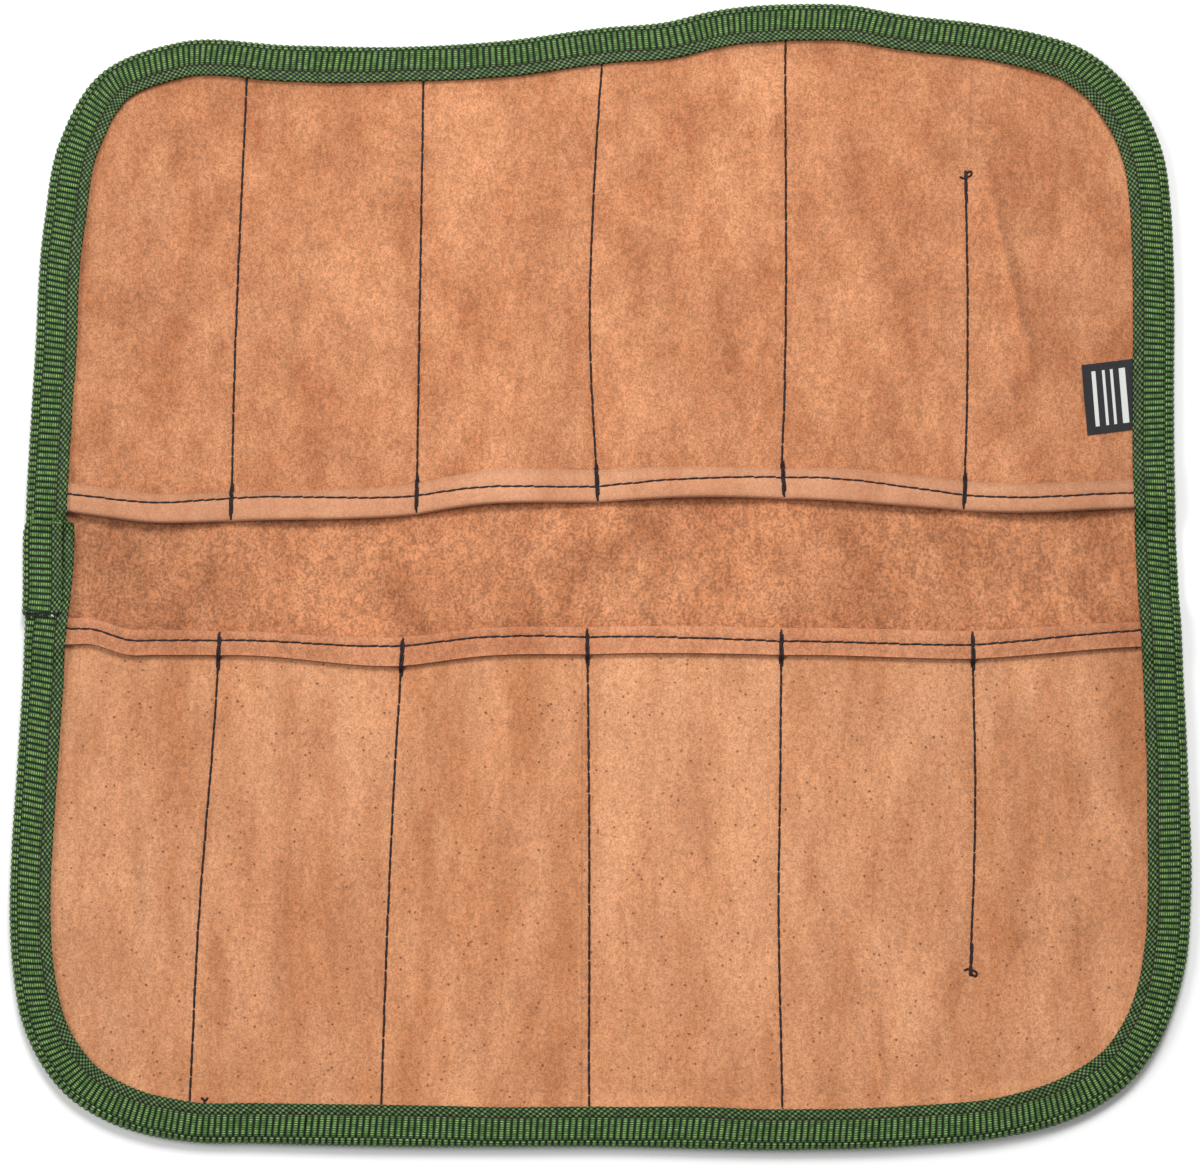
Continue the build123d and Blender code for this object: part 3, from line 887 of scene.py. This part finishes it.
def webbing_run(name, keep, places, out, along, width, lift=0.0, proud=0.0):
    """The webbing on the stretch of the edge that keep picks out."""
    width, lift, proud = (value + 0 * along for value in (width, lift, proud))
    rings, cloth = tape_points(
        places[keep], out[keep], along[keep], width[keep], lift[keep], proud[keep, None]
    )
    piece = make_piece(
        name, rings.reshape(-1, 3), swept(rings), (WEBBING,), cloth=cloth.reshape(-1, 3)
    )
    return piece


def edge_runs(places):
    """Names of the stretches of the edge, and the samples along each, the next one's first too."""
    x, y = places.T
    column = np.searchsorted(JOINS, x)
    side = (y > SIDE_LOW) & (y < SIDE_HIGH) & (np.abs(x) > 120)
    names = np.where(
        side, np.where(x < 0, "left", "right"),
        np.char.add(np.where(y > 0, "top_", "bottom_"), (column + 1).astype(str)),
    )
    count = len(names)
    starts = [i for i in range(count) if names[i] != names[i - 1]]
    runs = []
    for start, stop in zip(starts, starts[1:] + [starts[0] + count]):
        runs.append((str(names[start]), np.arange(start, stop + 1) % count))
    return runs


def webbing():
    """The webbing all round, one piece for each stretch of the edge, and its lap."""
    places, out, _ = outline(EDGE_LENGTH / (RIBS_ROUND * SAMPLES_PER_RIB))
    along = np.arange(len(places)) * EDGE_LENGTH / len(places)
    width = webbing_width(places, out)
    for run, keep in edge_runs(places):
        lengths = along.copy()
        if keep[0] > keep[-1]:
            lengths[keep[keep < keep[0]]] += EDGE_LENGTH
        piece = webbing_run(f"webbing_{run}", keep, places, out, lengths, width)
        edge, column = carry(piece, run)
        if column is None:
            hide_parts(f"binding_{edge}")
        else:
            stands_for(f"binding_{edge}", column)
    y = places[:, 1]
    lap = np.where((places[:, 0] < 0) & (y > LAP_LOW) & (y < LAP_HIGH + 4))[0]
    over = smooth((LAP_HIGH + 3 - y) / 7)
    piece = webbing_run(
        "webbing_lap", lap, places, out, along, LAP_FACE,
        lift=1.25 * over - 0.25, proud=1.15 * over - 0.2,
    )
    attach(piece, "panel_1")
    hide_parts("binding_lap")


def lap_end():
    """The heat-sealed end of the lap: dark melted yarn ends, and one stray white thread."""
    draw = np.random.default_rng(71)
    count = 90
    x = -181.6 + 10.2 * draw.uniform(0, 1, count)
    y = LAP_LOW + 2.2 * draw.uniform(-0.4, 1, count)
    turn = draw.uniform(-0.8, 0.8, count)
    length = draw.uniform(0.8, 1.9, count)
    starts = np.column_stack([x, y])
    ends = starts - np.column_stack([np.sin(turn) * length * 1.2, np.cos(turn) * length])

    def surface(x, y):
        rounded = 0.7 * np.clip((-180.5 - x) / 2, 0, 1) ** 2
        over = 0.1 + 0.9 * smooth((y - LAP_LOW + 2) / 3)
        return rim_height(x + LAYERS_AT, y) + over - rounded

    for name, first, second, material in (
        ("lap_end_yarn", starts, ends, MELTED_END),
        ("lap_stray_thread", [(-173.4, -17.6)], [(-172.6, -18.3)], WHITE_THREAD),
    ):
        piece = stitches(name, first, second, surface, thickness=0.24, material=material)
        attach(piece, "panel_1")


def carry(piece, run):
    """A piece at a side rides on its panel, and the rest have their placement baked in: the edge
    and column.
    """
    if run in ("left", "right"):
        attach(piece, "panel_1" if run == "left" else "panel_6")
        return run, None
    edge, number = run.split("_")
    column = int(number) - 1
    bend(piece)
    return edge, column


# ---------------------------------------------------------------- stitches

def stitches(name, starts, ends, surface, thickness=THREAD, sink=0.0, material=LEATHER_THREAD):
    """One short raised thread from each start to its end, dipping into the leather at both."""
    starts, ends = np.asarray(starts, float), np.asarray(ends, float)
    t = np.array([-1, -0.86, -0.45, 0, 0.45, 0.86, 1])
    round_off = np.array([0.7, 0.88, 1, 1.05, 1, 0.88, 0.7])
    middle, half = (starts + ends) / 2, (ends - starts) / 2
    line = middle[:, None] + half[:, None] * t[None, :, None]
    z = surface(line[..., 0], line[..., 1]) - sink - 0.1 * t ** 6
    along = half / np.maximum(np.hypot(*half.T)[:, None], 1e-9)
    beside = np.column_stack([-along[:, 1], along[:, 0]])
    turn = np.linspace(0, 2 * math.pi, 6, endpoint=False)
    flat = thickness * round_off[None, :, None] * np.cos(turn)[None, None]
    high = thickness * round_off[None, :, None] * np.sin(turn)[None, None]
    points = np.stack([
        line[..., 0:1] + beside[:, None, 0:1] * flat,
        line[..., 1:2] + beside[:, None, 1:2] * flat,
        z[..., None] + high,
    ], -1)
    count, rings, size = points.shape[:3]
    faces = []
    for i in range(count):
        faces += swept(points[i], i * rings * size)
    return make_piece(name, points.reshape(-1, 3), faces, (material,))


# Height of the bobbin threads, under the backing, and X where the hems' seams end
BOBBIN_HEIGHT = 0.42
HEM_END = 171.5

# The loose thread where the last seam of each row ends, from the seam's own end
TAIL = ((0, 0.8), (1.2, -1.8), (3.1, -2.6), (3.5, -0.5), (1.5, 0.8), (-1.0, 1.6), (-3.1, 0.6))

# The thread ends that stand out of the webbing beside the lower row's first seam
TUFT = ((4.8, -1.2), (4.6, 1.0), (3.6, 2.0), (4.9, 0.8), (5.8, 1.9))


def seam_steps(seed, first, last, away):
    """Where each stitch along a seam starts and ends, each a little uneven."""
    count = math.ceil(abs(last - first) / STITCH_PITCH)
    draw = np.random.default_rng(seed)
    start = first + away * STITCH_PITCH * (np.arange(count) + draw.uniform(-0.06, 0.06, count))
    return start, start + away * STITCH_PITCH, draw.uniform(-0.1, 0.1, (count, 2))


def divider_stitches(row, column):
    """A dividing seam, with its start sewn back on itself over the hem."""
    seam, away = row.seams[column], row.away
    seam_x = seam(np.array([row.mouth(FOLDS[column])]))[0]
    mouth = float(row.mouth(seam_x))
    last = row.last_end if column == len(FOLDS) - 1 else webbing_line(seam, row)
    first = mouth + away * 0.3
    starts, ends = [], []
    raw = float(row.raw(seam_x)) + away * 1.2
    passes = [(first, last, 0.0), (first + away * 1.6, raw, 0.42), (first + away * 0.8, raw, -0.3)]
    if column == len(FOLDS) - 1:
        passes.append((last - away * 9, last, 0.35))
    for number, (y_from, y_to, aside) in enumerate(passes):
        y0, y1, wobble = seam_steps(60 + column * 7 + number + row.seed, y_from, y_to, away)
        starts.append(np.column_stack([seam(y0) + aside + wobble[:, 0], y0]))
        ends.append(np.column_stack([seam(y1) + aside + wobble[:, 1], y1]))
    if column == len(FOLDS) - 1:
        tail = np.array([seam(last), last]) + np.array(TAIL) * (0.6, -0.6 * away)
        starts.append(tail[:-1])
        ends.append(tail[1:])
    if row is LOWER and column == 0:
        tuft = np.array([seam(last), last]) + TUFT
        starts.append(tuft[:-1])
        ends.append(tuft[1:])
    name = f"{row.name}_divider_stitches_{column + 1}"
    piece = stitches(name, np.vstack(starts), np.vstack(ends), row.surface, sink=-0.08)
    bend(piece)
    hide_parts(f"{row.name}_divider_seam_{column + 1}")
    under = stitches(
        f"{row.name}_divider_bobbin_{column + 1}", starts[0], ends[0],
        lambda x, y: 0 * x + BOBBIN_HEIGHT, thickness=0.26, sink=0.05,
    )
    bend(under)


def webbing_line(seam, row):
    """Y where a seam runs in under the webbing."""
    y = np.linspace(100 * row.away, 180 * row.away, 161)
    depth, _ = from_edge(seam(y), y)
    return float(y[np.argmax(depth < TAPE_INSIDE + 0.5)])


def hem_stitches(column):
    """The stitches that hold both rows' hems, on one column."""
    low, high = column_ends(column)
    low, high = max(low, -HEM_END), min(high, HEM_END)
    draw = np.random.default_rng(90 + column)
    starts, ends = [], []
    for row in ROWS:
        first = math.ceil(low / STITCH_PITCH)
        x0 = np.arange(first, math.ceil(high / STITCH_PITCH)) * STITCH_PITCH
        x1 = x0 + STITCH_PITCH
        wobble = draw.uniform(-0.12, 0.12, (len(x0), 2))
        starts.append(np.column_stack([x0, row.stitch_y(x0) + wobble[:, 0] - 0.08]))
        ends.append(np.column_stack([x1, row.stitch_y(x1) + wobble[:, 1] + 0.08]))

    def surface(x, y):
        return np.where(y > 0, UPPER.surface(x, y), LOWER.surface(x, y))

    piece = stitches(f"hem_stitches_{column + 1}", np.vstack(starts), np.vstack(ends), surface)
    bend(piece)
    stands_for("hem_seam", column)


def binding_stitches():
    """The seam that holds the webbing, sunk in the groove beside the selvage on both faces."""
    places, out, _ = outline(STITCH_PITCH)
    top = places - out * (webbing_width(places, out) - SELVAGE)[:, None]
    low = places - out * (TAPE_FACE - SELVAGE)
    for run, keep in edge_runs(places):
        starts = np.vstack([top[keep[:-1]], low[keep[:-1]]])
        ends = np.vstack([top[keep[1:]], low[keep[1:]]])
        gap = (ends - starts) * 0.06
        on_top = np.arange(len(starts))[:, None] < len(keep) - 1

        def surface(x, y, on_top=on_top):
            return np.where(on_top, rim_height(x, y) - 0.06, LOW_FACE)

        piece = stitches(
            f"binding_stitches_{run}", starts, ends - gap, surface,
            thickness=0.27, sink=0.1, material=BINDING_THREAD,
        )
        edge, column = carry(piece, run)
        if edge == "top":
            stands_for("binding_seam", column)


# ---------------------------------------------------------------- label

def label():
    """The woven label, its tail under the webbing and its free end a little raised."""
    half = LABEL_HEIGHT / 2
    u, v = np.meshgrid(np.linspace(0, LABEL_WIDTH, 40), np.linspace(-half, half, 47))
    x = LABEL_PLACE[0] + u - 0.06 * v
    y = LABEL_PLACE[1] + v + 0.14 * u
    lift = 0.3 + 0.35 * np.exp(-u / 2.5) * (1 + 0.5 * np.sin(v / 4))
    z = UPPER.surface(x, y) + lift
    z = np.where(u > LABEL_SHOWN, np.minimum(z, rim_height(x, y) - 0.6), z)
    top, low = with_z(x, y, z), with_z(x, y, z - 0.3)
    cloth = with_z(LABEL_SHOWN - u, v, 0 * u)
    piece = shell("woven_label", top, low, np.ones((46, 39), bool), (LABEL,), cloth=cloth)
    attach(piece, "panel_6")
    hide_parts("label")


# ---------------------------------------------------------------- stage

def floor():
    """A plain pale sheet, 6 m square and a twentieth of a millimetre below the roll."""
    half, z = 3.0, -0.00005
    points = [(-half, -half, z), (half, -half, z), (half, half, z), (-half, half, z)]
    mesh = bpy.data.meshes.new("floor")
    mesh.from_pydata(points, [], [(0, 1, 2, 3)])
    made = Nodes("floor", 0.9)
    made.shader.inputs["Base Color"].default_value = (0.92, 0.92, 0.92, 1)
    mesh.materials.append(made.material)
    piece = bpy.data.objects.new("floor", mesh)
    bpy.context.scene.collection.objects.link(piece)


def lamp(name, place, size, power):
    """A round soft light that faces the roll. Place and size are in metres."""
    data = bpy.data.lights.new(name, "AREA")
    data.shape, data.size, data.energy = "DISK", size, power
    light = bpy.data.objects.new(name, data)
    light.location = place
    light.rotation_euler = (-Vector(place)).to_track_quat("-Z", "Y").to_euler()
    bpy.context.scene.collection.objects.link(light)


def camera():
    """Above the table, looking down across it from the lower row's side."""
    target, distance, elevation = Vector((0, -0.0068, 0.003)), 1.3, math.radians(80)
    data = bpy.data.cameras.new("camera")
    data.sensor_width, data.lens = 36, 122.76
    eye = bpy.data.objects.new("camera", data)
    away = Vector((0, -math.cos(elevation), math.sin(elevation)))
    eye.location = target + distance * away
    eye.rotation_euler = (-away).to_track_quat("-Z", "Y").to_euler()
    bpy.context.scene.collection.objects.link(eye)
    bpy.context.scene.camera = eye


def light_room():
    """A white room, a key light behind the roll and a weaker one at its left."""
    world = bpy.data.worlds.new("room")
    world.use_nodes = True
    world.node_tree.nodes["Background"].inputs["Color"].default_value = (1, 1, 1, 1)
    world.node_tree.nodes["Background"].inputs["Strength"].default_value = 0.4
    bpy.context.scene.world = world
    lamp("key", (0.1, 0.95, 1.5), 0.7, 23)
    lamp("fill", (-1.0, 0.1, 1.3), 0.6, 9)
    bpy.context.scene.view_settings.view_transform = "Standard"


# ---------------------------------------------------------------- the whole roll

camera()
light_room()
floor()
for column in range(len(FOLDS)):
    backing(column)
    for row in ROWS:
        pocket_leather(row, column)
        divider_stitches(row, column)
    hem_stitches(column)
webbing()
lap_end()
binding_stitches()
label()
